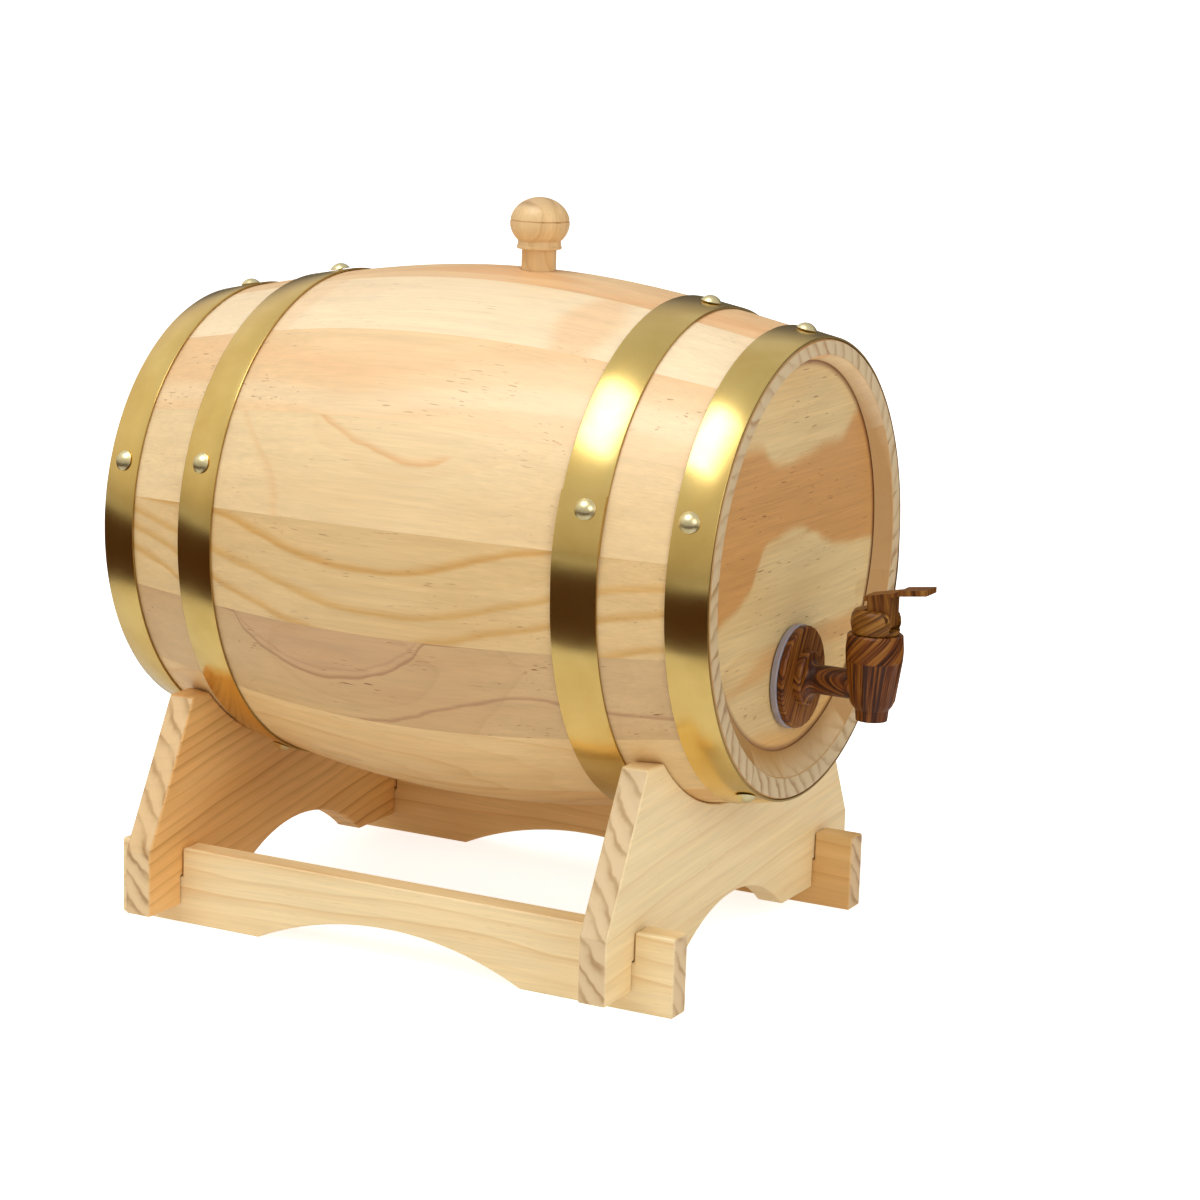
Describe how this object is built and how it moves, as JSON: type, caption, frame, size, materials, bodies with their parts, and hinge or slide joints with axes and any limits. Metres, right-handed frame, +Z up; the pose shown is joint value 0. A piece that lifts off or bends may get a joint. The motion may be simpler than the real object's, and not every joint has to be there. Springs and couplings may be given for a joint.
{
  "type": "cask drink dispenser",
  "caption": "Small wooden cask on a half-lapped cradle stand, with brass hoops, a ball-topped bung and a push-lever tap.",
  "frame": {"origin": "on the floor, under the middle of the whole object's box; the cask's own middle lies 23.1 mm behind it", "axes": "+Z up, -Y from the cask towards its tap, +X to the right of someone who stands before the tap and faces it"},
  "size_m": [0.205, 0.2968, 0.2728],
  "materials": {
    "stave_pine": "clear lacquer, satin",
    "head_pine": "clear lacquer, satin",
    "bung_wood": "clear lacquer, satin",
    "stand_pine": "clear lacquer, satin",
    "hoop_brass": "rolled strip, polished",
    "tack_brass": "polished dome",
    "tap_plastic": "printed wood grain, satin",
    "inner_plastic": "moulded",
    "washer_silicone": "translucent silicone",
    "seal_silicone": "silicone",
    "spring_steel": "drawn wire"
  },
  "bodies": {
    "stand": {"cradle_front": "stand_pine", "cradle_rear": "stand_pine", "rail_left": "stand_pine", "rail_right": "stand_pine"},
    "cask": {"head_front": "head_pine", "head_rear": "head_pine", "hoop_front_end": "hoop_brass", "hoop_front_quarter": "hoop_brass", "hoop_rear_end": "hoop_brass", "hoop_rear_quarter": "hoop_brass", "stave_01": "stave_pine", "stave_02": "stave_pine", "stave_03": "stave_pine", "stave_04": "stave_pine", "stave_05": "stave_pine", "stave_06": "stave_pine", "stave_07": "stave_pine", "stave_08": "stave_pine", "stave_09": "stave_pine", "stave_10": "stave_pine", "stave_11": "stave_pine", "stave_12": "stave_pine", "stave_13": "stave_pine", "stave_14": "stave_pine", "stave_15": "stave_pine", "stave_16": "stave_pine", "tack_front_end_1": "tack_brass", "tack_front_end_2": "tack_brass", "tack_front_end_3": "tack_brass", "tack_front_end_4": "tack_brass", "tack_front_quarter_1": "tack_brass", "tack_front_quarter_2": "tack_brass", "tack_front_quarter_3": "tack_brass", "tack_front_quarter_4": "tack_brass", "tack_rear_end_1": "tack_brass", "tack_rear_end_2": "tack_brass", "tack_rear_end_3": "tack_brass", "tack_rear_end_4": "tack_brass", "tack_rear_quarter_1": "tack_brass", "tack_rear_quarter_2": "tack_brass", "tack_rear_quarter_3": "tack_brass", "tack_rear_quarter_4": "tack_brass", "tap_body": "tap_plastic", "tap_bonnet": "tap_plastic", "tap_nut": "inner_plastic", "tap_spring": "spring_steel", "tap_washer_inner": "washer_silicone", "tap_washer_outer": "washer_silicone"},
    "bung": {"bung": "bung_wood"},
    "lever": {"tap_lever": "tap_plastic"},
    "valve": {"tap_stem": "inner_plastic", "tap_seal": "seal_silicone"}
  },
  "joints": [
    {"name": "cask_lift", "type": "slide", "parent": "stand", "child": "cask", "axis": [0, 0, 1], "range_m": [0, 0.12]},
    {"name": "bung_pull", "type": "slide", "parent": "cask", "child": "bung", "axis": [0, 0, 1], "range_m": [0, 0.04]},
    {"name": "tap_lever", "type": "hinge", "parent": "cask", "child": "lever", "pos_m": [0, -0.13325, 0.1333], "axis": [1, 0, 0], "range_deg": [0, 22], "stiffness_Nm_per_rad": 0.024, "springref_deg": -17.19},
    {"name": "tap_valve", "type": "slide", "parent": "cask", "child": "valve", "axis": [0, 0, 1], "range_m": [0, 0.00192], "deforming": ["tap_spring"]}
  ],
  "couplings": [
    {"joint": "tap_lever", "follows": "tap_valve", "rad_per_m": 200}
  ]
}
